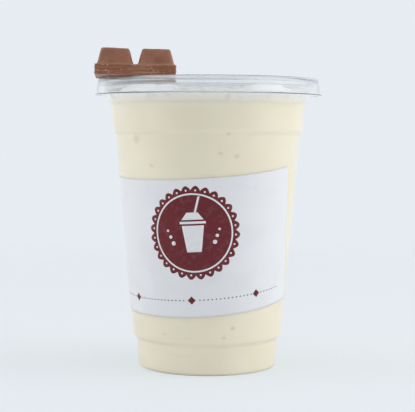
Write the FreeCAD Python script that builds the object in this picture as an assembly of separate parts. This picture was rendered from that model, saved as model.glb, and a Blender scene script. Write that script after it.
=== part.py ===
import FreeCAD, Part
import math
import os

from FreeCAD import Vector

# A milkshake in a clear takeaway cup with a push-on lid, a sticker round its wall and a piece of
# segmented chocolate lying on the lid. Millimetres, +Z up. The origin is the middle of the foot,
# on the surface the cup stands on; -Y is the front.

# Cup: a thin thermoformed wall, thickness measured inwards from the outer skin
cupHeight = 123.7
cupWall = 0.5
coneBottomRadius = 32.15
coneTopRadius = 39.75
ledgeStep = 1.55           # the stacking ledge below the cone steps in by this
ledgeRise = 2.6
bandHeight = 11.6          # foot to ledge
bandDraft = 1.05
footInset = 1.35           # from the foot of the band to the flat ring it stands on
footRingWidth = 2.6
footRoundRadius = 1.6
baseRecess = 2.2           # how far the middle of the base is pushed up
baseRecessRun = 2.4        # radial run of the slope up to it
shoulderBelowRim = 25.3    # where the cone ends, measured down from the rim
shoulderRise = 4.6
collarStep = 1.3
collarDraft = 0.8
flareBelowRim = 10.3       # where the collar opens out under the lid
flareRise = 5.4
flareOut = 3.05
rollWidth = 2.4            # rolled rim beyond the wall under it
cornerRadius = 1.2         # rounds on the folds of the wall

# Lid: one thin sheet that clips over the rim
lidWall = 0.4
plugClearance = 0.15       # lid plug to the inside of the mouth
skirtClearance = 0.2       # inside of the skirt to the rim
panelDepth = 2.9           # recess of the middle, below the ring on top
skirtDrop = 7.1            # top of the ring to the underside of the flange
skirtFlare = 0.7
flangeWidth = 0.6
ringRound = 0.9
bossRadius = 17.0          # raised disc round the straw slit
bossBelowRing = 0.2 
bossRun = 1.6
slitLength = 17.0
slitWidth = 0.5

# Fill
shakeBelowRim = 10.0
frothGap = 0.5             # highest froth to the underside of the lid's panel
frothRelief = 1.5          # how far the troughs in the froth lie below its crests
frothMounds = 7            # mounds round the froth's edge
frothGrid = 25

# Sticker: a rectangle laid without stretch on the cup's cone
labelWidth = 99.8
labelHeight = 57.3
labelThickness = 0.15
labelMiddleHeight = 53.6
labelTurn = -12.7          # degrees round the cup from the front, positive to +X
labelTilt = 2.8            # degrees, right-hand end up

# Chocolate: blocks on a common slab, resting on the lid's ring and boss
slabLength = 40.0
slabThickness = 4.6
blockRows = 2
blockColumns = 2
blockPitch = 16.7
blockFootWidth = 14.9
blockTopWidth = 11.4
blockHeight = 6.6
blockMargin = 0.9          # slab showing round the outermost blocks
blockFootRound = 2.4
blockTopRound = 1.1
blockEdgeRound = 0.5
slabEdgeRound = 0.6
slabOverBoss = 4.2         # its lower right front corner, in from the boss's left edge
slabSetback = 9.75         # the same corner, behind the front of the ring's flat top
slabTurn = 3.5             # degrees about Z, far end towards -X

axisY = Vector(0, 1, 0)
axisZ = Vector(0, 0, 1)
origin = Vector(0, 0, 0)

bandTopRadius = coneBottomRadius - ledgeStep
bandBottomRadius = bandTopRadius - bandDraft
footRadius = bandBottomRadius - footInset
ledgeTop = bandHeight + ledgeRise
coneTop = cupHeight - shoulderBelowRim
collarBottomRadius = coneTopRadius + collarStep
collarTopRadius = collarBottomRadius + collarDraft
mouthRadius = collarTopRadius + flareOut
rimRadius = mouthRadius + rollWidth
curlBore = (rollWidth - cupWall) / 2
curlHeight = cupHeight - cupWall - curlBore
lidTop = cupHeight + lidWall
panelTop = lidTop - panelDepth
bossTop = lidTop - bossBelowRing
mouthInner = mouthRadius - cupWall
plugInner = mouthInner - plugClearance - lidWall
skirtTopRadius = rimRadius + skirtClearance + lidWall - skirtFlare / 2
skirtFootRadius = skirtTopRadius + skirtFlare
flangeRadius = skirtFootRadius + flangeWidth
shakeLevel = cupHeight - shakeBelowRim


def at(radius, height):
    return Vector(radius, 0, height)


def roundedRun(points):
    """Edges through (radius, height, round) points, with an arc of that round at each corner."""
    corners = [at(r, z) for r, z, _ in points]
    edges = []
    start = corners[0]
    for i in range(1, len(corners) - 1):
        corner = corners[i]
        round_ = points[i][2]
        back = (corners[i - 1] - corner).normalize()
        ahead = (corners[i + 1] - corner).normalize()
        half = back.getAngle(ahead) / 2
        if round_ == 0 or half > math.pi / 2 - 1e-4:
            edges.append(Part.makeLine(start, corner))
            start = corner
            continue
        reach = round_ / math.tan(half)
        enter = corner + back * reach
        leave = corner + ahead * reach
        middle = corner + (back + ahead).normalize() * (round_ / math.sin(half) - round_)
        edges.append(Part.makeLine(start, enter))
        edges.append(Part.Arc(enter, middle, leave).toShape())
        start = leave
    edges.append(Part.makeLine(start, corners[-1]))
    return edges


def sheetOfRevolution(edges, thickness):
    """A wall of this thickness beside the run, turned about Z. A positive one lies above a run that
    goes outwards along the floor, and a negative one below it."""
    face = Part.Wire(edges).makeOffset2D(thickness, 0, True, True, False)
    return Part.Solid(face.revolve(origin, axisZ, 360).Solids[0])


def turned(edges):
    """The solid inside a run that starts and ends on the axis."""
    edges = edges + [Part.makeLine(edges[-1].Vertexes[-1].Point, edges[0].Vertexes[0].Point)]
    return Part.Face(Part.Wire(Part.__sortEdges__(edges))).revolve(origin, axisZ, 360).Solids[0]


def disc(radius, bottom, top):
    return Part.makeCylinder(radius, top - bottom, at(0, bottom), axisZ)


def cupRun():
    recessRadius = footRadius - footRingWidth - baseRecessRun
    return [
        (0, baseRecess, 0),
        (recessRadius, baseRecess, cornerRadius),
        (footRadius - footRingWidth, 0, cornerRadius),
        (bandBottomRadius, 0, footRoundRadius),
        (bandTopRadius, bandHeight, cornerRadius),
        (coneBottomRadius, ledgeTop, cornerRadius),
        (coneTopRadius, coneTop, 2 * cornerRadius),
        (collarBottomRadius, coneTop + shoulderRise, 2 * cornerRadius),
        (collarTopRadius, cupHeight - flareBelowRim, 2 * cornerRadius),
        (mouthRadius, cupHeight - flareBelowRim + flareRise, 2 * cornerRadius),
        (mouthRadius, curlHeight, 0),
    ]


def curlEdge():
    """The rim rolls outwards, over and back under itself."""
    middle = at(mouthRadius + curlBore, curlHeight)
    points = [middle + at(-curlBore * math.cos(a), curlBore * math.sin(a))
              for a in (0, math.radians(120), math.radians(240))]
    return Part.Arc(*points).toShape()


def makeCup():
    return sheetOfRevolution(roundedRun(cupRun()) + [curlEdge()], cupWall)


def makeInside(cup):
    """All the space inside the cup's wall, up to the foot of the rolled rim."""
    run = roundedRun(cupRun() + [(0, curlHeight, 0)])
    pieces = turned(run).cut(cup).Solids
    return max(pieces, key=lambda piece: piece.Volume)


def frothHeight(x, y):
    """Height of the froth: a shallow dome with rounded mounds round its edge."""
    crest = panelTop - lidWall - frothGap
    out = min(math.hypot(x, y) / mouthInner, 1)
    mound = math.cos(frothMounds * math.atan2(y, x) + 2.2 * math.sin(math.atan2(y, x)))
    return crest - frothRelief * out ** 2 * (0.5 - 0.5 * mound)


def makeFrothTop():
    """A slab whose underside is the froth's surface, to cut the froth off with."""
    reach = mouthRadius + 4
    steps = [reach * (2 * i / (frothGrid - 1) - 1) for i in range(frothGrid)]
    surface = Part.BSplineSurface()
    surface.interpolate([[Vector(x, y, frothHeight(x, y)) for y in steps] for x in steps])
    return surface.toShape().extrude(axisZ * cupHeight)


def makeFill(inside):
    level = disc(rimRadius, -1, shakeLevel)
    shake = inside.common(level).Solids[0]
    above = inside.cut(level).cut(makeFrothTop())
    froth = min(above.Solids, key=lambda piece: piece.CenterOfMass.z)
    return shake, froth


def lidRun():
    return [
        (0, bossTop, 0),
        (bossRadius, bossTop, cornerRadius / 2),
        (bossRadius + bossRun, panelTop, cornerRadius / 2),
        (plugInner, panelTop, cornerRadius / 2),
        (plugInner, lidTop, ringRound),
        (skirtTopRadius, lidTop, ringRound),
        (skirtFootRadius, lidTop - skirtDrop + lidWall, ringRound / 2),
        (flangeRadius, lidTop - skirtDrop + lidWall, 0),
    ]


def makeLid():
    lid = sheetOfRevolution(roundedRun(lidRun()), -lidWall)
    for angle in (45, 135):
        slit = Part.makeBox(slitLength, slitWidth, 4 * lidWall)
        slit.translate(Vector(-slitLength / 2, -slitWidth / 2, bossTop - 2 * lidWall))
        slit.rotate(origin, axisZ, angle)
        lid = lid.cut(slit)
    return lid.Solids[0]


def makeLabel():
    """The sticker's flat outline is bent onto the cone: a flat point's distance from the cone's
    unrolled apex stays as it is, and its angle there becomes an angle round the cup."""
    slope = (coneTopRadius - coneBottomRadius) / (coneTop - ledgeTop)
    apex = ledgeTop - coneBottomRadius / slope
    secant = math.hypot(1, slope)
    tilt = math.radians(labelTilt)
    middle = (labelMiddleHeight - apex) * secant

    def bent(across, up, outwards):
        along = across * math.cos(tilt) - up * math.sin(tilt)
        away = middle + across * math.sin(tilt) + up * math.cos(tilt)
        distance = math.hypot(along, away)
        angle = math.radians(labelTurn) + math.atan2(along, away) * secant / slope
        radius = distance * slope / secant * outwards
        return Vector(radius * math.sin(angle), -radius * math.cos(angle), apex + distance / secant)

    def cutterFace(outwards):
        fractions = [i / 16 - 0.5 for i in range(17)]
        surface = Part.BSplineSurface()
        surface.interpolate([[bent(labelWidth * u, labelHeight * v, outwards) for v in fractions]
                             for u in fractions])
        return surface.toShape()

    inner, outer = cutterFace(0.9), cutterFace(1.1)
    sides = [Part.makeRuledSurface(a, b) for a, b in zip(inner.Edges, outer.Edges)]
    shell = Part.makeShell([inner, outer] + sides)
    shell.sewShape()
    cutter = Part.Solid(shell)
    if cutter.Volume < 0:
        cutter.reverse()
    skin = labelThickness * secant
    height = coneTop - ledgeTop
    outside = Part.makeCone(coneBottomRadius + skin, coneTopRadius + skin, height, at(0, ledgeTop))
    within = Part.makeCone(coneBottomRadius, coneTopRadius, height, at(0, ledgeTop))
    return outside.cut(within).common(cutter).Solids[0]


def roundedRectangle(width, depth, round_, height):
    """A wire round the middle of an upright, level rectangle."""
    w, d = width / 2, depth / 2
    k = round_ * (1 - math.sqrt(0.5))
    edges = []
    for turn in range(4):
        a, b = (w, d) if turn % 2 == 0 else (d, w)
        side = Part.makeLine(Vector(a, -b + round_, height), Vector(a, b - round_, height))
        corner = Part.Arc(Vector(a, b - round_, height), Vector(a - k, b - k, height),
                          Vector(a - round_, b, height)).toShape()
        for edge in (side, corner):
            edge.rotate(origin, axisZ, 90 * turn)
            edges.append(edge)
    return Part.Wire(edges)


def makeBlock(footDepth):
    draft = blockFootWidth - blockTopWidth
    block = Part.makeLoft([
        roundedRectangle(blockFootWidth, footDepth, blockFootRound, 0),
        roundedRectangle(blockTopWidth, footDepth - draft, blockTopRound, blockHeight),
    ], True, True)
    top = [edge for edge in block.Edges
           if all(abs(vertex.Z - blockHeight) < 1e-6 for vertex in edge.Vertexes)]
    return block.makeFillet(blockEdgeRound, top)


def makeChocolate():
    """Modelled with its lower right front corner at the origin, then laid on the lid."""
    slabWidth = (blockColumns - 1) * blockPitch + blockFootWidth + 2 * blockMargin
    rowPitch = (slabLength - 2 * blockMargin + (blockPitch - blockFootWidth)) / blockRows
    footDepth = rowPitch - (blockPitch - blockFootWidth)
    slab = Part.makeBox(slabWidth, slabLength, slabThickness, Vector(-slabWidth, 0, 0))
    upright = [edge for edge in slab.Edges if edge.BoundBox.ZLength > slabThickness / 2]
    slab = slab.makeFillet(slabEdgeRound, upright)
    blocks = []
    for column in range(blockColumns):
        for row in range(blockRows):
            block = makeBlock(footDepth)
            x = -blockMargin - blockFootWidth / 2 - column * blockPitch
            y = blockMargin + footDepth / 2 + row * rowPitch
            block.translate(Vector(x, y, slabThickness))
            blocks.append(block)
    chocolate = slab.fuse(blocks).removeSplitter().Solids[0]

    # Its underside touches the inner edge of the ring's flat top at one end of the slab, and the
    # boss along its right edge. Both are found in the slab's own directions, before its turn.
    turn = math.radians(slabTurn)
    ringInner = plugInner + ringRound
    x, y = slabOverBoss - bossRadius, slabSetback - ringInner
    edge = x * math.cos(turn) + y * math.sin(turn)
    front = -x * math.sin(turn) + y * math.cos(turn)
    farther = max(abs(front), abs(front + slabLength))
    contact = -math.sqrt(ringInner ** 2 - farther ** 2)
    lean = math.atan2(lidTop - bossTop, edge - contact)
    chocolate.rotate(origin, axisY, math.degrees(lean))
    chocolate.translate(Vector(edge, front, bossTop))
    chocolate.rotate(origin, axisZ, slabTurn)
    return chocolate


def main():
    cup = makeCup()
    shake, froth = makeFill(makeInside(cup))
    nodes = {
        "cup": cup,
        "lid": makeLid(),
        "milkshake": shake,
        "froth": froth,
        "label": makeLabel(),
        "chocolate": makeChocolate(),
    }
    os.makedirs("parts", exist_ok=True)
    for name, shape in nodes.items():
        shape.exportStep(os.path.join("parts", name + ".step"))
        box = shape.BoundBox
        print(f"{name}: valid {shape.isValid()}, {shape.Volume / 1000:.2f} cm3, "
              f"x {box.XMin:.2f}..{box.XMax:.2f}, y {box.YMin:.2f}..{box.YMax:.2f}, "
              f"z {box.ZMin:.2f}..{box.ZMax:.2f}")


main()
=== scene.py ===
import math
import random

import bmesh
import bpy
from mathutils import Matrix, Vector, noise


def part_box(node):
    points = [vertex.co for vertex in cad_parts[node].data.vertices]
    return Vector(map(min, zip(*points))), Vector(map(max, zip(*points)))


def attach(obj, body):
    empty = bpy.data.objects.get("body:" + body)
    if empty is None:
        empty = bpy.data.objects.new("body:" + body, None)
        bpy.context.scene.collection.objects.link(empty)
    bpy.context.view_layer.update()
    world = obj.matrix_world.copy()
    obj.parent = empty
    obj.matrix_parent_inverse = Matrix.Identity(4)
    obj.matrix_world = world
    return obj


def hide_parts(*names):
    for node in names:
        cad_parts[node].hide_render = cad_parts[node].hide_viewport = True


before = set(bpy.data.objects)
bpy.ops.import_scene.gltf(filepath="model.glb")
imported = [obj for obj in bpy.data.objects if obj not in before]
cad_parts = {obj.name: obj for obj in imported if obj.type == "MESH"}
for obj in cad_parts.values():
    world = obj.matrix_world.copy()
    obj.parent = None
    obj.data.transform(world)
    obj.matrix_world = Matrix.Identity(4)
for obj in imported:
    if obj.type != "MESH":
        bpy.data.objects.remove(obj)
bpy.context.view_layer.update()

mm = 0.001
scene = bpy.context.scene
bodyMiddle = 60.0       # height of a place well inside the body
sharpAngle = 50.0       # degrees, edges above it stay crisp


# ---- shared making

def roundedOutline(points, arcSteps=6):
    # (radius, height, round) corners in mm, each round sampled as an arc
    corners = [Vector((r, z)) for r, z, _ in points]
    line = [corners[0]]
    for i in range(1, len(corners) - 1):
        corner, rounding = corners[i], points[i][2]
        back = (corners[i - 1] - corner).normalized()
        ahead = (corners[i + 1] - corner).normalized()
        half = back.angle(ahead) / 2
        if not rounding:
            line.append(corner)
            continue
        centre = corner + (back + ahead).normalized() * (rounding / math.sin(half))
        enter = (corner + back * (rounding / math.tan(half)) - centre).normalized()
        leave = (corner + ahead * (rounding / math.tan(half)) - centre).normalized()
        for step in range(arcSteps + 1):
            line.append(centre + enter.slerp(leave, step / arcSteps) * rounding)
    line.append(corners[-1])
    return line


def evenlyFilled(line, longest):
    # extra points on the long straight stretches
    filled = [line[0]]
    for a, b in zip(line, line[1:]):
        parts = max(1, math.ceil((b - a).length / longest))
        filled += [a.lerp(b, k / parts) for k in range(1, parts + 1)]
    return filled


def insetLine(line, depth):
    # the same line, moved to its left-hand side
    moved = []
    for i, point in enumerate(line):
        along = (line[min(i + 1, len(line) - 1)] - line[max(i - 1, 0)]).normalized()
        shifted = point + Vector((-along.y, along.x)) * depth
        moved.append(Vector((max(shifted.x, 0), shifted.y)))
    return moved


def spun(line, steps):
    bm = bmesh.new()
    verts = [bm.verts.new((p.x * mm, 0, p.y * mm)) for p in line]
    edges = [bm.edges.new(pair) for pair in zip(verts, verts[1:])]
    bmesh.ops.spin(bm, geom=verts + edges, cent=(0, 0, 0), axis=(0, 0, 1),
                   angle=2 * math.pi, steps=steps, use_merge=True, use_duplicate=False)
    bmesh.ops.remove_doubles(bm, verts=bm.verts, dist=1e-6)
    bmesh.ops.recalc_face_normals(bm, faces=bm.faces)
    bm.normal_update()
    inside = Vector((0, 0, bodyMiddle * mm))
    outward = sum(f.normal.dot(f.calc_center_median() - inside) * f.calc_area() for f in bm.faces)
    if outward < 0:
        bmesh.ops.reverse_faces(bm, faces=bm.faces)
    return bm


def finished(name, bm, material, replaced=(), smooth=True):
    mesh = bpy.data.meshes.new(name)
    bm.to_mesh(mesh)
    bm.free()
    for polygon in mesh.polygons:
        polygon.use_smooth = smooth
    if smooth:
        mesh.set_sharp_from_angle(angle=math.radians(sharpAngle))
    mesh.materials.append(material)
    piece = bpy.data.objects.new(name, mesh)
    scene.collection.objects.link(piece)
    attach(piece, "root")
    if replaced:
        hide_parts(*replaced)
    return piece


def addWall(piece, thickness, side=-1):
    wall = piece.modifiers.new("wall", "SOLIDIFY")
    wall.thickness = thickness * mm
    wall.offset = side
    wall.use_even_offset = True
    wall.use_quality_normals = True
    return wall


# ---- shared shading

def newMaterial(name):
    material = bpy.data.materials.new(name)
    material.use_nodes = True
    tree = material.node_tree
    return material, tree, tree.nodes["Principled BSDF"]


def addNode(tree, kind, inputs=(), **settings):
    node = tree.nodes.new(kind)
    for key, value in settings.items():
        setattr(node, key, value)
    for socket, value in dict(inputs).items():
        if isinstance(value, bpy.types.NodeSocket):
            tree.links.new(value, node.inputs[socket])
        else:
            node.inputs[socket].default_value = value
    return node


def newGroup(name, inputs, outputs):
    group = bpy.data.node_groups.new(name, "ShaderNodeTree")
    for label, kind in inputs:
        group.interface.new_socket(label, in_out="INPUT", socket_type=kind)
    for label, kind in outputs:
        group.interface.new_socket(label, in_out="OUTPUT", socket_type=kind)
    return group, group.nodes.new("NodeGroupInput").outputs, group.nodes.new("NodeGroupOutput").inputs


def makeMottle():
    # two colours mixed in soft patches
    group, given, out = newGroup(
        "mottle",
        [("Light", "NodeSocketColor"), ("Dark", "NodeSocketColor"), ("Scale", "NodeSocketFloat"),
         ("Low", "NodeSocketFloat"), ("High", "NodeSocketFloat")],
        [("Color", "NodeSocketColor")])
    place = addNode(group, "ShaderNodeTexCoord").outputs["Object"]
    cloud = addNode(group, "ShaderNodeTexNoise",
                    {"Vector": place, "Scale": given["Scale"], "Detail": 3.0, "Roughness": 0.55})
    ramp = addNode(group, "ShaderNodeMapRange",
                   {"Value": cloud.outputs["Fac"], "From Min": given["Low"], "From Max": given["High"]})
    mixed = addNode(group, "ShaderNodeMix", {0: ramp.outputs["Result"], 6: given["Light"],
                                             7: given["Dark"]}, data_type="RGBA")
    group.links.new(mixed.outputs[2], out["Color"])
    return group


def makeGrain():
    # fine uneven height, for bump
    group, given, out = newGroup(
        "grain", [("Scale", "NodeSocketFloat"), ("Pits", "NodeSocketFloat")],
        [("Height", "NodeSocketFloat")])
    place = addNode(group, "ShaderNodeTexCoord").outputs["Object"]
    fine = addNode(group, "ShaderNodeTexNoise", {"Vector": place, "Scale": given["Scale"], "Detail": 4.0})
    cells = addNode(group, "ShaderNodeTexVoronoi", {"Vector": place, "Scale": given["Scale"]})
    pits = addNode(group, "ShaderNodeMath", {0: cells.outputs["Distance"], 1: given["Pits"]},
                   operation="MULTIPLY")
    total = addNode(group, "ShaderNodeMath", {0: fine.outputs["Fac"], 1: pits.outputs[0]},
                    operation="ADD")
    group.links.new(total.outputs[0], out["Height"])
    return group


mottle = makeMottle()
grain = makeGrain()


def useGroup(tree, group, inputs):
    node = addNode(tree, "ShaderNodeGroup", node_tree=group)
    for socket, value in inputs.items():
        node.inputs[socket].default_value = value
    return node


def addBump(tree, shader, height, strength, distance):
    bump = addNode(tree, "ShaderNodeBump", {"Height": height, "Strength": strength,
                                            "Distance": distance * mm})
    tree.links.new(bump.outputs["Normal"], shader.inputs["Normal"])


def clearPlastic(name, tint, roughness, clarity, patchy=2.5):
    # lamps and bounced light pass straight through, so what it holds is lit plainly
    material, tree, shader = newMaterial(name)
    shader.inputs["Base Color"].default_value = (*tint, 1)
    shader.inputs["Transmission Weight"].default_value = clarity
    shader.inputs["IOR"].default_value = 1.5
    smooth, rough = (roughness,) * 3 + (1,), (roughness * patchy,) * 3 + (1,)
    haze = useGroup(tree, mottle, {"Light": smooth, "Dark": rough,
                                   "Scale": 160.0, "Low": 0.45, "High": 0.75})
    tree.links.new(haze.outputs["Color"], shader.inputs["Roughness"])
    path = addNode(tree, "ShaderNodeLightPath").outputs
    either = addNode(tree, "ShaderNodeMath", {0: path["Is Shadow Ray"], 1: path["Is Diffuse Ray"]},
                     operation="MAXIMUM")
    passing = addNode(tree, "ShaderNodeBsdfTransparent", {"Color": (0.99, 0.992, 0.992, 1)})
    shown = addNode(tree, "ShaderNodeMixShader", {0: either.outputs[0], 1: shader.outputs["BSDF"],
                                                  2: passing.outputs["BSDF"]})
    tree.links.new(shown.outputs["Shader"], tree.nodes["Material Output"].inputs["Surface"])
    return material


# ---- cup

cup = {
    "height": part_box("cup")[1][2] / mm, "wall": 0.5,
    "coneBottom": 32.15, "coneTop": 39.75,
    "ledgeStep": 1.55, "ledgeRise": 2.6,
    "bandHeight": 11.6, "bandDraft": 1.05, "footInset": 1.35,
    "footRing": 2.6, "footRound": 1.6, "recess": 2.2, "recessRun": 2.4,
    "shoulderDown": 25.3, "shoulderRise": 4.6, "stepCrowd": (1.8, 1.2),
    "ledgeCrowd": (0.7, 0.4), "bandBead": 8.2,
    "collarStep": 1.3, "collarDraft": 0.8,
    "flareDown": 10.3, "flareRise": 5.4, "flareOut": 3.05,
    "roll": 2.4, "corner": 1.2, "rimSteps": 20,
    "steps": 160, "longest": 4.0,
    "tint": (0.985, 0.99, 0.995), "roughness": 0.03, "clarity": 0.97,
}
coneFoot = cup["bandHeight"] + cup["ledgeRise"]
coneHead = cup["height"] - cup["shoulderDown"]
mouthRadius = cup["coneTop"] + cup["collarStep"] + cup["collarDraft"] + cup["flareOut"]
rimRadius = mouthRadius + cup["roll"]


def cupCorners():
    soft = cup["corner"]
    bandTop = cup["coneBottom"] - cup["ledgeStep"]
    bandFoot = bandTop - cup["bandDraft"]
    foot = bandFoot - cup["footInset"]
    collar = cup["coneTop"] + cup["collarStep"]
    flare = cup["height"] - cup["flareDown"]
    low, high = cup["stepCrowd"]
    lift, drop = cup["ledgeCrowd"]
    bead = cup["bandBead"]
    bandDraft = cup["bandDraft"] / cup["bandHeight"]
    draft = (cup["coneTop"] - cup["coneBottom"]) / (coneHead - coneFoot)
    return [
        (0, cup["recess"], 0),
        (foot - cup["footRing"] - cup["recessRun"], cup["recess"], soft),
        (foot - cup["footRing"], 0, soft),
        (bandFoot, 0, cup["footRound"]),
        (bandFoot + bead * bandDraft, bead, 0.2 * soft),
        (bandFoot + bead * bandDraft + 0.1, bead + 0.5, 0.2 * soft),
        (bandTop, cup["bandHeight"] + lift, 0.4 * soft),
        (cup["coneBottom"] - 0.05, coneFoot - drop, 2 * soft),
        (cup["coneTop"] + low * draft, coneHead + low, 0.4 * soft),
        (collar - high * draft, coneHead + cup["shoulderRise"] - high, 3 * soft),
        (collar + cup["collarDraft"], flare, 11 * soft),
        (mouthRadius, flare + cup["flareRise"], 2 * soft),
    ]


def makeCup():
    # one closed wall: outer skin, rolled rim, inner skin
    bead = (cup["roll"] + cup["wall"]) / 2
    centre = Vector((rimRadius - bead, cup["height"] - bead))
    reach = mouthRadius - centre.x
    start = math.atan2(-math.sqrt(bead ** 2 - reach ** 2), reach)
    join = (mouthRadius, centre.y + bead * math.sin(start), 0)
    skin = evenlyFilled(roundedOutline(cupCorners() + [join]), cup["longest"])
    steps = cup["rimSteps"]
    turns = [start + (math.pi - start) * k / steps for k in range(1, steps + 1)]
    rim = [centre + bead * Vector((math.cos(a), math.sin(a))) for a in turns]
    inner = insetLine(skin, cup["wall"])
    bm = spun(skin + rim + inner[::-1], cup["steps"])
    plastic = clearPlastic("cupPlastic", cup["tint"], cup["roughness"], cup["clarity"])
    finished("cup_shell", bm, plastic, ["cup"])
    print("cup made")


# ---- milkshake and froth

shake = {
    "levelDown": 10.0, "intoWall": 0.2, "steps": 160, "longest": 1.5, "topLongest": 2.5,
    "colour": (0.855, 0.79, 0.62), "shade": (0.825, 0.755, 0.575),
    "fleck": (0.48, 0.47, 0.36), "fleckStrength": 0.4,
    # degrees from the front, height, and softness across and up
    "flecks": [(-48.4, 98.4, 1.9, 1.7), (-66, 91.5, 0.8, 0.7), (7.4, 92.8, 0.9, 0.6),
               (17.4, 91.6, 1.0, 0.8), (12, 100.6, 0.8, 0.6), (19, 20.4, 0.9, 0.8),
               (12.4, 16.4, 0.9, 0.6), (-33.5, 17.3, 0.7, 0.5), (-37, 87.5, 0.9, 0.6)],
    "fleckCore": 0.1, "fleckReach": 1.9, "wobble": 0.6,
    "rare": 150.0, "rareSize": 0.085, "rareShare": 0.8, "rareStrength": 0.3,
}
shakeLevel = cup["height"] - shake["levelDown"]
fillDepth = cup["wall"] - shake["intoWall"]


def fillOutline(low, high):
    # the inside of the cup between two heights, reaching a little into its wall
    corners = cupCorners() + [(mouthRadius, cup["height"], 0)]
    line = insetLine(evenlyFilled(roundedOutline(corners), shake["longest"]), fillDepth)
    kept = [p for p in line if low < p.y < high]
    first, last = line.index(kept[0]), line.index(kept[-1])

    def crossing(a, b, height):
        return a.lerp(b, (height - a.y) / (b.y - a.y))
    start = [crossing(line[first - 1], line[first], low)] if first else []
    return start + kept + [crossing(line[last], line[last + 1], high)]


# the cup's side, from just above the foot to just below the rim
wallLine = fillOutline(0.4, cup["height"] - 1)


def wallRadius(height):
    # inside of the cup at this height, a little into the wall
    for a, b in zip(wallLine, wallLine[1:]):
        if a.y <= height <= b.y and b.x > 20:
            return a.lerp(b, (height - a.y) / (b.y - a.y)).x
    return wallLine[-1].x


def milkMaterial():
    material, tree, shader = newMaterial("milkshake")
    patches = useGroup(tree, mottle, {"Light": (*shake["colour"], 1), "Dark": (*shake["shade"], 1),
                                      "Scale": 55.0, "Low": 0.42, "High": 0.72})
    # soft grey-green flecks: a few known ones, and rare ones all round
    place = addNode(tree, "ShaderNodeTexCoord").outputs["Object"]
    wobble = addNode(tree, "ShaderNodeTexNoise", {"Vector": place, "Scale": 900.0, "Detail": 2.0})
    wavy = addNode(tree, "ShaderNodeVectorMath", {
        0: wobble.outputs["Color"], 1: (shake["wobble"] * mm,) * 3, 2: place},
        operation="MULTIPLY_ADD").outputs["Vector"]
    cells = addNode(tree, "ShaderNodeTexVoronoi", {"Vector": wavy, "Scale": shake["rare"]})
    near = addNode(tree, "ShaderNodeMapRange", {
        "Value": cells.outputs["Distance"], "From Min": 0.0, "From Max": shake["rareSize"],
        "To Min": shake["rareStrength"], "To Max": 0.0}, interpolation_type="SMOOTHSTEP")
    draw = addNode(tree, "ShaderNodeSeparateXYZ", {0: cells.outputs["Color"]})
    chosen = addNode(tree, "ShaderNodeMath", {0: draw.outputs["X"], 1: shake["rareShare"]},
                     operation="GREATER_THAN")
    mask = addNode(tree, "ShaderNodeMath", {0: near.outputs["Result"], 1: chosen.outputs[0]},
                   operation="MULTIPLY").outputs[0]
    middle = Vector((shake["wobble"] / 2 * mm,) * 3)
    for turn, height, wide, tall in shake["flecks"]:
        angle, out = math.radians(turn), wallRadius(height)
        centre = Vector((out * math.sin(angle), -out * math.cos(angle), height)) * mm + middle
        shifted = addNode(tree, "ShaderNodeVectorMath", {0: wavy, 1: centre}, operation="SUBTRACT")
        scaled = addNode(tree, "ShaderNodeVectorMath", {
            0: shifted.outputs["Vector"], 1: (1 / wide / mm, 1 / wide / mm, 1 / tall / mm)},
            operation="MULTIPLY")
        away = addNode(tree, "ShaderNodeVectorMath", {0: scaled.outputs["Vector"]}, operation="LENGTH")
        spot = addNode(tree, "ShaderNodeMapRange", {
            "Value": away.outputs["Value"], "From Min": shake["fleckCore"],
            "From Max": shake["fleckReach"], "To Min": shake["fleckStrength"], "To Max": 0.0},
            interpolation_type="SMOOTHSTEP")
        mask = addNode(tree, "ShaderNodeMath", {0: mask, 1: spot.outputs["Result"]},
                       operation="MAXIMUM").outputs[0]
    mixed = addNode(tree, "ShaderNodeMix", {0: mask, 6: patches.outputs["Color"],
                                            7: (*shake["fleck"], 1)}, data_type="RGBA")
    tree.links.new(mixed.outputs[2], shader.inputs["Base Color"])
    shader.inputs["Roughness"].default_value = 0.5
    shader.inputs["Specular IOR Level"].default_value = 0.15
    shader.inputs["Subsurface Weight"].default_value = 0.25
    shader.inputs["Subsurface Radius"].default_value = (1.0, 0.9, 0.6)
    shader.inputs["Subsurface Scale"].default_value = 3 * mm
    fine = useGroup(tree, grain, {"Scale": 900.0, "Pits": 0.3})
    addBump(tree, shader, fine.outputs["Height"], 0.12, 0.2)
    return material


def makeShake():
    line = fillOutline(0, shakeLevel) + [Vector((0, shakeLevel))]
    bm = spun(evenlyFilled(line, shake["topLongest"]), shake["steps"])
    finished("milkshake_body", bm, milkMaterial(), ["milkshake"])
    print("milkshake made")


froth = {
    "colour": (0.84, 0.845, 0.815), "shade": (0.58, 0.59, 0.55), "white": (0.97, 0.97, 0.96),
    "turn": (-0.2, 3.6),                   # above the level, milkshake colour turns to pale foam
    "edge": 117.9, "inside": 119.7, "crest": 120.65,
    # degrees from the front, half width in degrees
    "mounds": [(-38, 14), (-22, 5), (33, 13), (98, 20), (150, 16), (-110, 24), (-165, 12)],
    "slopeFoot": 0.88, "slopeRun": 0.1,    # shares of the radius, where the top turns up or down to its rim
    "whiteFrom": 0.4, "whiteTo": 1.6,      # above the edge, mounds turn white
    "lump": 0.45, "lumpSize": 3.0, "ripple": 0.5, "wave": 2.4,
    "rings": 44, "steps": 240, "longest": 0.4,
}


def frothPush(angle):
    # how far the froth is pushed up against the lid here, 0 to 1
    pushed = 0
    for turn, half in froth["mounds"]:
        away = (math.degrees(angle) - turn + 180) % 360 - 180
        pushed = max(pushed, math.exp(-(away / half) ** 4))
    return pushed


def frothRim(angle):
    # height of the froth where it meets the wall
    pushed = frothPush(angle)
    ripple = noise.fractal(Vector((math.cos(angle), math.sin(angle), 0)) * 9, 1.0, 2.0, 3)
    top = froth["edge"] + (froth["crest"] - froth["edge"]) * pushed + froth["ripple"] * ripple
    return min(top, froth["crest"])


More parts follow.
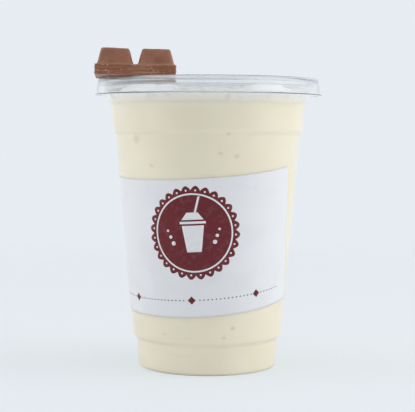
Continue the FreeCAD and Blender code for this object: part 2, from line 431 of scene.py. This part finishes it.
def rimShare(out):
    # 0 on the top's inner part, 1 at its rim
    return min(max((out - froth["slopeFoot"]) / froth["slopeRun"], 0), 1)


def frothHeight(out, angle, x, y):
    lumps = noise.fractal(Vector((x, y, 7)) / froth["lumpSize"], 1.0, 2.0, 3)
    inside = froth["inside"] + froth["lump"] * lumps
    return min(inside + (frothRim(angle) - inside) * rimShare(out), froth["crest"])


def frothMaterial():
    material, tree, shader = newMaterial("froth")
    patches = useGroup(tree, mottle, {"Light": (*froth["colour"], 1), "Dark": (*froth["shade"], 1),
                                      "Scale": 240.0, "Low": 0.5, "High": 0.8})
    # pale foam above, milkshake colour at the foot, with an uneven edge
    place = addNode(tree, "ShaderNodeTexCoord").outputs["Object"]
    height = addNode(tree, "ShaderNodeSeparateXYZ", {0: place}).outputs["Z"]
    wave = addNode(tree, "ShaderNodeTexNoise", {"Vector": place, "Scale": 90.0, "Detail": 3.0})
    lifted = addNode(tree, "ShaderNodeMath", {0: wave.outputs["Fac"], 1: froth["wave"] * mm, 2: height},
                     operation="MULTIPLY_ADD")
    start = shakeLevel + froth["wave"] / 2
    pale = addNode(tree, "ShaderNodeMapRange", {
        "Value": lifted.outputs[0], "From Min": (start + froth["turn"][0]) * mm,
        "From Max": (start + froth["turn"][1]) * mm}, interpolation_type="SMOOTHSTEP")
    body = addNode(tree, "ShaderNodeMix", {0: pale.outputs["Result"], 6: (*shake["colour"], 1),
                                           7: patches.outputs["Color"]}, data_type="RGBA")
    # the mounds pressed against the lid are white
    mound = addNode(tree, "ShaderNodeAttribute", attribute_name="mound")
    high = addNode(tree, "ShaderNodeMapRange", {
        "Value": lifted.outputs[0], "From Min": (froth["edge"] + froth["whiteFrom"]) * mm,
        "From Max": (froth["edge"] + froth["whiteTo"]) * mm, "To Max": mound.outputs["Fac"]},
        interpolation_type="SMOOTHSTEP")
    mixed = addNode(tree, "ShaderNodeMix", {0: high.outputs["Result"], 6: body.outputs[2],
                                            7: (*froth["white"], 1)}, data_type="RGBA")
    tree.links.new(mixed.outputs[2], shader.inputs["Base Color"])
    shader.inputs["Roughness"].default_value = 0.45
    shader.inputs["Subsurface Weight"].default_value = 0.3
    shader.inputs["Subsurface Radius"].default_value = (1.0, 0.95, 0.8)
    shader.inputs["Subsurface Scale"].default_value = 2 * mm
    fine = useGroup(tree, grain, {"Scale": 1400.0, "Pits": 0.8})
    addBump(tree, shader, fine.outputs["Height"], 0.35, 0.3)
    return material


def makeFroth():
    side = fillOutline(shakeLevel, froth["crest"])
    edge = side[-1]
    top = [Vector((edge.x * (1 - k / froth["rings"]), edge.y)) for k in range(1, froth["rings"] + 1)]
    bm = spun([Vector((0, shakeLevel))] + evenlyFilled(side, froth["longest"]) + top, froth["steps"])
    mound = bm.verts.layers.float.new("mound")
    for vert in bm.verts:
        x, y, z = vert.co / mm
        angle = math.atan2(x, -y)
        rim = frothRim(angle)
        out = math.hypot(x, y) / edge.x
        vert[mound] = frothPush(angle) * rimShare(out)
        if z > edge.y - 0.01:
            shrink = wallRadius(rim) / edge.x
            vert.co = Vector((x * shrink, y * shrink, frothHeight(out, angle, x, y))) * mm
        elif z > rim:
            radius = wallRadius(rim)
            vert.co = Vector((radius * math.sin(angle), -radius * math.cos(angle), rim)) * mm
    bmesh.ops.remove_doubles(bm, verts=bm.verts, dist=1e-5)
    finished("froth_layer", bm, frothMaterial(), ["froth"])
    print("froth made")


# ---- lid

lid = {
    "wall": 0.4, "plugGap": 0.15, "skirtGap": 0.2, "panelDown": 2.9, "skirtDown": 7.1,
    "skirtFlare": 0.7, "flange": 0.6, "ringRound": 0.9,
    "bossRadius": 17.0, "bossDown": 0.2, "bossRun": 1.6, "corner": 0.6,
    "slitLength": 17.0, "slitWidth": 0.5, "steps": 192, "longest": 3.0,
    "stepIn": 5.5, "stepRise": 0.3, "stepRun": 0.8,      # a shallow step that runs round the panel
    "tint": (0.975, 0.98, 0.99), "roughness": 0.04, "clarity": 0.95,
}


def makeLid():
    top = cup["height"] + lid["wall"]
    panel, boss = top - lid["panelDown"], top - lid["bossDown"]
    plug = mouthRadius - cup["wall"] - lid["plugGap"] - lid["wall"]
    head = rimRadius + lid["skirtGap"] + lid["wall"] - lid["skirtFlare"] / 2
    foot = head + lid["skirtFlare"]
    low = top - lid["skirtDown"] + lid["wall"]
    soft = lid["corner"]
    corners = [
        (0, boss, 0),
        (lid["bossRadius"], boss, soft),
        (lid["bossRadius"] + lid["bossRun"], panel + lid["stepRise"], soft),
        (plug - lid["stepIn"], panel + lid["stepRise"], soft / 2),
        (plug - lid["stepIn"] + lid["stepRun"], panel, soft / 2),
        (plug, panel, soft),
        (plug, top, lid["ringRound"]),
        (head, top, lid["ringRound"]),
        (foot, low, lid["ringRound"] / 2),
        (foot + lid["flange"], low, 0),
    ]
    bm = spun(evenlyFilled(roundedOutline(corners), lid["longest"]), lid["steps"])
    plastic = clearPlastic("lidPlastic", lid["tint"], lid["roughness"], lid["clarity"])
    piece = finished("lid_shell", bm, plastic, ["lid"])
    addWall(piece, lid["wall"])
    cutterMesh = bmesh.new()
    for turn in (45, 135):
        shape = Matrix.Rotation(math.radians(turn), 4, "Z") @ Matrix.Diagonal(
            (lid["slitLength"] * mm, lid["slitWidth"] * mm, 8 * lid["wall"] * mm, 1))
        bmesh.ops.create_cube(cutterMesh, size=1, matrix=Matrix.Translation((0, 0, boss * mm)) @ shape)
    mesh = bpy.data.meshes.new("slitCutter")
    cutterMesh.to_mesh(mesh)
    cutterMesh.free()
    cutter = bpy.data.objects.new("slitCutter", mesh)
    scene.collection.objects.link(cutter)
    cut = piece.modifiers.new("slit", "BOOLEAN")
    cut.operation = "DIFFERENCE"
    cut.solver = "EXACT"
    cut.use_self = True
    cut.object = cutter
    # keep the result and drop the cutter
    made = bpy.data.meshes.new_from_object(piece.evaluated_get(bpy.context.evaluated_depsgraph_get()))
    made.validate()
    piece.modifiers.clear()
    old, piece.data = piece.data, made
    bpy.data.meshes.remove(old)
    bpy.data.objects.remove(cutter)
    bpy.data.meshes.remove(mesh)
    print("lid made")


# ---- sticker and its print

label = {
    "width": 99.8, "height": 57.3, "thickness": 0.15, "middle": 53.6, "turn": -12.7, "tilt": 2.8,
    "across": 100, "up": 56, "paper": (0.785, 0.79, 0.81), "grey": (0.715, 0.72, 0.745),
    "scuff": (0.60, 0.62, 0.63), "skinLift": 0.01, "ink": 0.02,
    "maroon": (0.142, 0.016, 0.021), "maroonWorn": (0.21, 0.06, 0.065),
    "dark": (0.055, 0.045, 0.05), "darkWorn": (0.12, 0.1, 0.11),
}
coneSlope = (cup["coneTop"] - cup["coneBottom"]) / (coneHead - coneFoot)
coneApex = coneFoot - cup["coneBottom"] / coneSlope
coneSecant = math.hypot(1, coneSlope)


def onCone(flat):
    # a flat point (across, up, lift) in mm, bent round the cup without stretch
    tilt = math.radians(label["tilt"])
    along = flat.x * math.cos(tilt) - flat.y * math.sin(tilt)
    away = ((label["middle"] - coneApex) * coneSecant
            + flat.x * math.sin(tilt) + flat.y * math.cos(tilt))
    distance = math.hypot(along, away)
    angle = math.radians(label["turn"]) + math.atan2(along, away) * coneSecant / coneSlope
    radius = distance * coneSlope / coneSecant + flat.z
    return Vector((radius * math.sin(angle), -radius * math.cos(angle),
                   coneApex + distance / coneSecant)) * mm


def bendRound(bm):
    for vert in bm.verts:
        vert.co = onCone(vert.co)
    bmesh.ops.recalc_face_normals(bm, faces=bm.faces)
    bm.normal_update()
    facing = sum(f.normal.x * f.calc_center_median().x + f.normal.y * f.calc_center_median().y
                 for f in bm.faces)
    if facing < 0:
        bmesh.ops.reverse_faces(bm, faces=bm.faces)


def paperMaterial():
    material, tree, shader = newMaterial("stickerPaper")
    cloudy = useGroup(tree, mottle, {"Light": (*label["paper"], 1), "Dark": (*label["grey"], 1),
                                     "Scale": 70.0, "Low": 0.45, "High": 0.95})
    # faint scuffs
    place = addNode(tree, "ShaderNodeTexCoord").outputs["UV"]
    streaks = addNode(tree, "ShaderNodeTexNoise", {"Vector": place, "Scale": 9.0, "Detail": 8.0,
                                                   "Roughness": 0.7, "Distortion": 0.6})
    scuffed = addNode(tree, "ShaderNodeMapRange", {"Value": streaks.outputs["Fac"],
                                                   "From Min": 0.62, "From Max": 0.74, "To Max": 0.35})
    mixed = addNode(tree, "ShaderNodeMix", {0: scuffed.outputs["Result"], 6: cloudy.outputs["Color"],
                                            7: (*label["scuff"], 1)}, data_type="RGBA")
    tree.links.new(mixed.outputs[2], shader.inputs["Base Color"])
    shader.inputs["Roughness"].default_value = 0.55
    shader.inputs["Specular IOR Level"].default_value = 0.35
    fine = useGroup(tree, grain, {"Scale": 700.0, "Pits": 0.0})
    addBump(tree, shader, fine.outputs["Height"], 0.08, 0.1)
    return material


def inkMaterial(name, colour, worn):
    material, tree, shader = newMaterial(name)
    patchy = useGroup(tree, mottle, {"Light": (*colour, 1), "Dark": (*worn, 1),
                                     "Scale": 420.0, "Low": 0.5, "High": 0.9})
    tree.links.new(patchy.outputs["Color"], shader.inputs["Base Color"])
    shader.inputs["Roughness"].default_value = 0.45
    shader.inputs["Specular IOR Level"].default_value = 0.3
    return material


def makeLabel():
    bm = bmesh.new()
    bmesh.ops.create_grid(bm, x_segments=label["across"], y_segments=label["up"], size=0.5)
    uv = bm.loops.layers.uv.new("sticker")
    for face in bm.faces:
        for loop in face.loops:
            loop[uv].uv = (loop.vert.co.x + 0.5, loop.vert.co.y * label["height"] / label["width"] + 0.5)
    for vert in bm.verts:
        vert.co = Vector((vert.co.x * label["width"], vert.co.y * label["height"], label["skinLift"]))
    bendRound(bm)
    piece = finished("sticker", bm, paperMaterial(), ["label"])
    addWall(piece, label["thickness"] - label["skinLift"], side=1)
    print("sticker made")


seal = {"across": 2.5, "up": 6.5, "radius": 19.5, "scallops": 28, "scallop": 0.9,
        "ring": (15.7, 16.4), "dots": 28, "dotRadius": 0.42, "dotRing": 17.6,
        "glassTop": 4.6, "glassFoot": 3.0, "glassHeight": 11.0, "glassDown": 0.72,
        "lidOver": 0.8, "lidGap": 0.7, "lidHeight": 1.0, "domeHeight": 3.0,
        "strawWidth": 0.9, "strawHeight": 6.5, "strawAcross": 1.2, "strawLean": 0.3,
        "drops": 3, "dropAcross": 8.6, "dropUp": -1.5, "dropStep": (1.1, 2.6), "dropRadius": 0.9,
        "dropShrink": 0.18}
rule = {"up": -21.5, "span": 42.0, "pitch": 1.7, "dot": 0.3, "gap": 2.4,
        "diamonds": (-28.0, 0.0, 28.0), "diamond": 1.7}


def flatDisc(bm, inner, outer, steps, place, lift, waves=0, wave=0.0):
    # a disc or ring of short cells, so that it bends smoothly
    cells = max(1, math.ceil((outer - inner) / 1.0))
    radii = [inner + (outer - inner) * k / cells for k in range(cells + 1)]
    made = bmesh.new()
    verts = [made.verts.new((r, 0, 0)) for r in radii]
    edges = [made.edges.new(pair) for pair in zip(verts, verts[1:])]
    bmesh.ops.spin(made, geom=verts + edges, cent=(0, 0, 0), axis=(0, 0, 1), angle=2 * math.pi,
                   steps=steps, use_merge=True, use_duplicate=False)
    bmesh.ops.remove_doubles(made, verts=made.verts, dist=1e-4)
    for vert in made.verts:
        if waves and vert.co.length > 0:
            ripple = abs(math.sin(math.atan2(vert.co.y, vert.co.x) * waves / 2))
            vert.co *= 1 - wave / outer * (1 - ripple) * (vert.co.length / outer) ** 4
        vert.co += Vector((place[0], place[1], lift))
    joinInto(bm, made)


def joinInto(bm, made):
    mesh = bpy.data.meshes.new("joining")
    made.to_mesh(mesh)
    made.free()
    bm.from_mesh(mesh)
    bpy.data.meshes.remove(mesh)


def flatPatch(bm, bottomWidth, topWidth, height, place, lift, lean=0.0):
    made = bmesh.new()
    bmesh.ops.create_grid(made, x_segments=8, y_segments=10, size=0.5)
    for vert in made.verts:
        share = vert.co.y + 0.5
        x = vert.co.x * (bottomWidth + (topWidth - bottomWidth) * share) + lean * share * height
        vert.co = Vector((x + place[0], share * height + place[1], lift))
    joinInto(bm, made)


def printed(name, bm, material):
    bendRound(bm)
    piece = finished(name, bm, material)
    addWall(piece, label["ink"], side=1)


def makePrint():
    centre = (seal["across"], seal["up"])
    face = label["thickness"]
    maroon = bmesh.new()
    flatDisc(maroon, 0, seal["radius"], 168, centre, face, seal["scallops"], seal["scallop"] * 2)
    for across in rule["diamonds"]:
        flatDisc(maroon, 0, rule["diamond"], 4, (across, rule["up"]), face)
    printed("print_maroon", maroon, inkMaterial("maroonInk", label["maroon"], label["maroonWorn"]))

    white = bmesh.new()
    over = face + label["ink"]
    flatDisc(white, *seal["ring"], 120, centre, over)
    for k in range(seal["dots"]):
        a = 2 * math.pi * (k + 0.5) / seal["dots"]
        spot = (centre[0] + seal["dotRing"] * math.cos(a), centre[1] + seal["dotRing"] * math.sin(a))
        flatDisc(white, 0, seal["dotRadius"], 12, spot, over)
    glass, straw = seal["glassHeight"], seal["strawWidth"]
    top, lidWidth = 2 * seal["glassTop"], 2 * (seal["glassTop"] + seal["lidOver"])
    foot = (centre[0], centre[1] - glass * seal["glassDown"])
    flatPatch(white, 2 * seal["glassFoot"], top, glass, foot, over)
    brim = (foot[0], foot[1] + glass + seal["lidGap"])
    flatPatch(white, lidWidth, lidWidth, seal["lidHeight"], brim, over)
    dome = (brim[0], brim[1] + seal["lidHeight"] + seal["lidGap"])
    flatPatch(white, top, seal["glassTop"], seal["domeHeight"], dome, over)
    mouth = (dome[0] + seal["strawAcross"], dome[1] + seal["domeHeight"])
    flatPatch(white, straw, straw, seal["strawHeight"], mouth, over, seal["strawLean"])
    for side in (-1, 1):
        for k in range(seal["drops"]):
            spot = (centre[0] + side * (seal["dropAcross"] + seal["dropStep"][0] * k),
                    centre[1] + seal["dropUp"] + seal["dropStep"][1] * (k - 1))
            flatDisc(white, 0, seal["dropRadius"] - seal["dropShrink"] * k, 16, spot, over)
    printed("print_white", white, inkMaterial("bareInk", label["paper"], label["grey"]))

    dark = bmesh.new()
    count = int(rule["span"] / rule["pitch"])
    for k in range(-count, count + 1):
        across = k * rule["pitch"]
        if min(abs(across - d) for d in rule["diamonds"]) > rule["gap"]:
            flatDisc(dark, 0, rule["dot"], 8, (across, rule["up"]), face)
    printed("print_dots", dark, inkMaterial("darkInk", label["dark"], label["darkWorn"]))
    print("print made")


# ---- chocolate

chocolate = {
    "voxel": 0.4, "smooth": 5, "dent": 0.2, "dentSize": 5.0, "edgeWear": 0.2, "wearSize": 1.3,
    "drag": 0.3, "dragPitch": 0.7, "slab": 4.4,
    # the pale colour on the next line marks the drag lines and the rubbed edges; on the edges it is partly
    # a painted highlight
    "colour": (0.315, 0.135, 0.08), "dark": (0.225, 0.087, 0.048), "bloomAndHighlight": (0.52, 0.31, 0.21),
    "slabColour": (0.25, 0.087, 0.038),
    "crumb": (0.55, 0.34, 0.24),
    "crumbs": 190, "crumbSizes": (0.14, 0.5), "crumbsBelow": 5.5, "seed": 11,
}


def chocolateMaterial():
    material, tree, shader = newMaterial("chocolate")
    patches = useGroup(tree, mottle, {"Light": (*chocolate["colour"], 1), "Dark": (*chocolate["dark"], 1),
                                      "Scale": 170.0, "Low": 0.35, "High": 0.75})
    # pale drag lines run along the slab below the blocks
    place = addNode(tree, "ShaderNodeTexCoord").outputs["Object"]
    drawn = addNode(tree, "ShaderNodeVectorMath", {0: place, 1: (70.0, 70.0, 1500.0)}, operation="MULTIPLY")
    lines = addNode(tree, "ShaderNodeTexNoise",
                    {"Vector": drawn.outputs["Vector"], "Scale": 1.0, "Detail": 3.0})
    thin = addNode(tree, "ShaderNodeMapRange", {"Value": lines.outputs["Fac"], "From Min": 0.56,
                                                "From Max": 0.68, "To Max": 0.75})
    height = addNode(tree, "ShaderNodeSeparateXYZ", {0: place}).outputs["Z"]
    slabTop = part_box("chocolate")[0][2] / mm + chocolate["slab"]
    below = addNode(tree, "ShaderNodeMapRange", {"Value": height, "From Min": (slabTop + 0.6) * mm,
                                                 "From Max": (slabTop - 0.2) * mm})
    streaked = addNode(tree, "ShaderNodeMath", {0: thin.outputs["Result"], 1: below.outputs["Result"]},
                       operation="MULTIPLY")
    deeper = addNode(tree, "ShaderNodeMath", {0: below.outputs["Result"], 1: 0.75}, operation="MULTIPLY")
    body = addNode(tree, "ShaderNodeMix", {0: deeper.outputs[0], 6: patches.outputs["Color"],
                                           7: (*chocolate["slabColour"], 1)}, data_type="RGBA")
    # rubbed edges are paler: partly real rubbing, partly a painted highlight where the rounded edges catch
    # the light
    edge = addNode(tree, "ShaderNodeNewGeometry").outputs["Pointiness"]
    rubbedAndHighlit = addNode(tree, "ShaderNodeMapRange", {"Value": edge, "From Min": 0.515, "From Max": 0.58,
                                                  "To Max": 0.7})
    # pale marks: the drag lines, and the edges with their painted highlight
    worn = addNode(tree, "ShaderNodeMath", {0: rubbedAndHighlit.outputs["Result"], 1: streaked.outputs[0]},
                   operation="MAXIMUM")
    mixed = addNode(tree, "ShaderNodeMix", {0: worn.outputs[0], 6: body.outputs[2],
                                            7: (*chocolate["bloomAndHighlight"], 1)}, data_type="RGBA")
    tree.links.new(mixed.outputs[2], shader.inputs["Base Color"])
    shader.inputs["Roughness"].default_value = 0.38
    shader.inputs["Specular IOR Level"].default_value = 0.5
    fine = useGroup(tree, grain, {"Scale": 900.0, "Pits": 0.25})
    addBump(tree, shader, fine.outputs["Height"], 0.35, 0.15)
    return material


def crumbMaterial():
    material, tree, shader = newMaterial("crumb")
    patches = useGroup(tree, mottle, {"Light": (*chocolate["crumb"], 1), "Dark": (*chocolate["colour"], 1),
                                      "Scale": 600.0, "Low": 0.35, "High": 0.7})
    tree.links.new(patches.outputs["Color"], shader.inputs["Base Color"])
    shader.inputs["Roughness"].default_value = 0.7
    return material


def makeChocolate():
    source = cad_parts["chocolate"]
    bm = bmesh.new()
    bm.from_mesh(source.data)
    bmesh.ops.remove_doubles(bm, verts=bm.verts, dist=1e-6)
    piece = finished("chocolate_piece", bm, chocolateMaterial(), ["chocolate"])
    remesh = piece.modifiers.new("remesh", "REMESH")
    remesh.mode = "VOXEL"
    remesh.voxel_size = chocolate["voxel"] * mm
    even = bpy.data.meshes.new_from_object(piece.evaluated_get(bpy.context.evaluated_depsgraph_get()))
    piece.modifiers.clear()
    bm = bmesh.new()
    bm.from_mesh(even)
    bpy.data.meshes.remove(even)
    for _ in range(chocolate["smooth"]):
        bmesh.ops.smooth_vert(bm, verts=bm.verts, factor=0.5,
                              use_axis_x=True, use_axis_y=True, use_axis_z=True)
    bm.normal_update()
    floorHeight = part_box("chocolate")[0][2] / mm
    for vert in bm.verts:
        at = vert.co / mm
        dent = noise.noise(at / chocolate["dentSize"])
        wear = noise.fractal(at / chocolate["wearSize"], 1.0, 2.0, 3)
        push = chocolate["dent"] * (dent - 0.4) + chocolate["edgeWear"] * min(wear, 0)
        above = at.z - floorHeight
        if above < chocolate["slab"] and abs(vert.normal.z) < 0.5:
            # drag lines along the slab's sides
            band = noise.noise(Vector((at.x / 14, at.y / 14, above / chocolate["dragPitch"])))
            push += chocolate["drag"] * (band - 0.3)
        vert.co += vert.normal * min(push, 0.02) * mm
    bm.to_mesh(piece.data)
    bm.free()
    for polygon in piece.data.polygons:
        polygon.use_smooth = True
    print("chocolate made")


def makeCrumbs():
    draw = random.Random(chocolate["seed"])
    low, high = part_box("chocolate")
    bm = bmesh.new()
    made = bpy.data.objects["chocolate_piece"].data
    highest = low[2] + chocolate["crumbsBelow"] * mm
    sides = [p for p in made.polygons if abs(p.normal.z) < 0.4 and p.center.z < highest]
    for _ in range(chocolate["crumbs"]):
        # more of them towards the left end
        face = min(draw.choice(sides), draw.choice(sides), key=lambda p: p.center.x)
        size = draw.uniform(*chocolate["crumbSizes"]) * mm
        stretch = Matrix.Diagonal((size * draw.uniform(0.6, 1.6), size * draw.uniform(0.6, 1.4),
                                   size * draw.uniform(0.4, 0.8), 1))
        turn = Matrix.Rotation(draw.uniform(0, 6.3), 4,
                               Vector((draw.random(), draw.random(), 1)).normalized())
        spot = Matrix.Translation(face.center - face.normal * size * 0.2)
        bmesh.ops.create_icosphere(bm, subdivisions=1, radius=1.0, matrix=spot @ turn @ stretch)
    for vert in bm.verts:
        vert.co += Vector(noise.noise_vector(vert.co / (0.3 * mm))) * 0.06 * mm
        vert.co.x = min(max(vert.co.x, low[0]), high[0])
        vert.co.y = min(max(vert.co.y, low[1]), high[1])
        vert.co.z = max(vert.co.z, low[2])
    finished("crumbs", bm, crumbMaterial(), smooth=False)
    print("crumbs made")


# ---- studio

studio = {
    "backdrop": (0.795, 0.845, 0.89), "floor": (0.84, 0.865, 0.89),
    "fade": (0.22, 0.75),                 # the floor dissolves into the backdrop between these
    "lift": 0.52,                         # share of plain backdrop colour in the floor that is seen
    "room": (0.35, 1.0),                  # how bright it is in front, and at the sides and behind
    "ambient": (0.95, 0.975, 1.0), "ambientLevel": 0.66,
    "lamps": [("left", (-1.2, 0.1, 0.3), 6.5, 1.1), ("right", (1.15, -0.1, 0.42), 7.5, 1.1),
              ("top", (0.0, -0.2, 1.3), 2.0, 1.0)],
    "aim": (0, 0, 0.07), "floorRadius": 6.0,
}


def makeWorld():
    world = bpy.data.worlds.new("studio")
    scene.world = world
    world.use_nodes = True
    tree = world.node_tree
    ambient = tree.nodes["Background"]
    ambient.inputs["Color"].default_value = (*studio["ambient"], 1)
    ambient.inputs["Strength"].default_value = studio["ambientLevel"]
    shown = addNode(tree, "ShaderNodeBackground", {"Color": (*studio["backdrop"], 1), "Strength": 1.0})
    path = addNode(tree, "ShaderNodeLightPath").outputs
    seen = addNode(tree, "ShaderNodeMath", {0: path["Is Camera Ray"], 1: path["Is Transmission Ray"]},
                   operation="MAXIMUM")
    mixed = addNode(tree, "ShaderNodeMixShader", {0: seen.outputs[0], 1: ambient.outputs[0],
                                                  2: shown.outputs[0]})
    # what gloss mirrors: a darker room in front, bright walls at the sides and behind
    place = addNode(tree, "ShaderNodeTexCoord").outputs["Generated"]
    toward = addNode(tree, "ShaderNodeSeparateXYZ", {0: place})
    wall = addNode(tree, "ShaderNodeMapRange", {
        "Value": toward.outputs["Y"], "From Min": -0.95, "From Max": -0.2,
        "To Min": studio["room"][0], "To Max": studio["room"][1]}, interpolation_type="SMOOTHSTEP")
    room = addNode(tree, "ShaderNodeBackground", {"Color": (*studio["backdrop"], 1),
                                                  "Strength": wall.outputs["Result"]})
    both = addNode(tree, "ShaderNodeMixShader", {0: path["Is Glossy Ray"], 1: mixed.outputs[0],
                                                 2: room.outputs[0]})
    tree.links.new(both.outputs[0], tree.nodes["World Output"].inputs["Surface"])


def makeFloor():
    bm = bmesh.new()
    bmesh.ops.create_circle(bm, cap_ends=True, segments=96, radius=studio["floorRadius"])
    mesh = bpy.data.meshes.new("floor")
    bm.to_mesh(mesh)
    bm.free()
    material, tree, shader = newMaterial("floor")
    shader.inputs["Base Color"].default_value = (*studio["floor"], 1)
    shader.inputs["Roughness"].default_value = 0.7
    shader.inputs["Specular IOR Level"].default_value = 0.2
    place = addNode(tree, "ShaderNodeTexCoord").outputs["Object"]
    away = addNode(tree, "ShaderNodeVectorMath", {0: place}, operation="LENGTH")
    fade = addNode(tree, "ShaderNodeMapRange", {
        "Value": away.outputs["Value"], "From Min": studio["fade"][0], "From Max": studio["fade"][1]},
        interpolation_type="SMOOTHSTEP")
    clear = addNode(tree, "ShaderNodeBsdfTransparent")
    glow = addNode(tree, "ShaderNodeEmission", {"Color": (*studio["backdrop"], 1), "Strength": 1.0})
    path = addNode(tree, "ShaderNodeLightPath").outputs
    seen = addNode(tree, "ShaderNodeMath", {0: path["Is Camera Ray"], 1: studio["lift"]},
                   operation="MULTIPLY")
    lifted = addNode(tree, "ShaderNodeMixShader", {0: seen.outputs[0], 1: shader.outputs["BSDF"],
                                                   2: glow.outputs[0]})
    shown = addNode(tree, "ShaderNodeMixShader", {0: fade.outputs["Result"], 1: lifted.outputs[0],
                                                  2: clear.outputs["BSDF"]})
    tree.links.new(shown.outputs["Shader"], tree.nodes["Material Output"].inputs["Surface"])
    mesh.materials.append(material)
    floor = bpy.data.objects.new("floor", mesh)
    scene.collection.objects.link(floor)


def makeLamps():
    for name, place, power, size in studio["lamps"]:
        lamp = bpy.data.lights.new(name, "AREA")
        lamp.shape = "SQUARE"
        lamp.size = size
        lamp.energy = power
        holder = bpy.data.objects.new(name, lamp)
        holder.location = place
        aim = Vector(studio["aim"]) - Vector(place)
        holder.rotation_euler = aim.to_track_quat("-Z", "Y").to_euler()
        holder.visible_glossy = False
        holder.visible_transmission = False
        scene.collection.objects.link(holder)


view = {
    "distance": 0.5599, "height": 0.10085, "across": -0.0001, "down": 3.23, "roll": 0.25, "lens": 111.9,
}


def makeCamera():
    data = bpy.data.cameras.new("camera")
    data.sensor_width = 36.0
    data.sensor_fit = "HORIZONTAL"
    data.lens = view["lens"]
    data.clip_start = 0.01
    camera = bpy.data.objects.new("camera", data)
    turn = (Matrix.Rotation(math.radians(90 - view["down"]), 4, "X")
            @ Matrix.Rotation(math.radians(view["roll"]), 4, "Z"))
    camera.matrix_world = Matrix.Translation((view["across"], -view["distance"], view["height"])) @ turn
    scene.collection.objects.link(camera)
    scene.camera = camera


makeCup()
makeShake()
makeFroth()
makeLid()
makeLabel()
makePrint()
makeChocolate()
makeCrumbs()
makeWorld()
makeFloor()
makeLamps()
makeCamera()
scene.view_settings.view_transform = "Standard"
print("studio made")
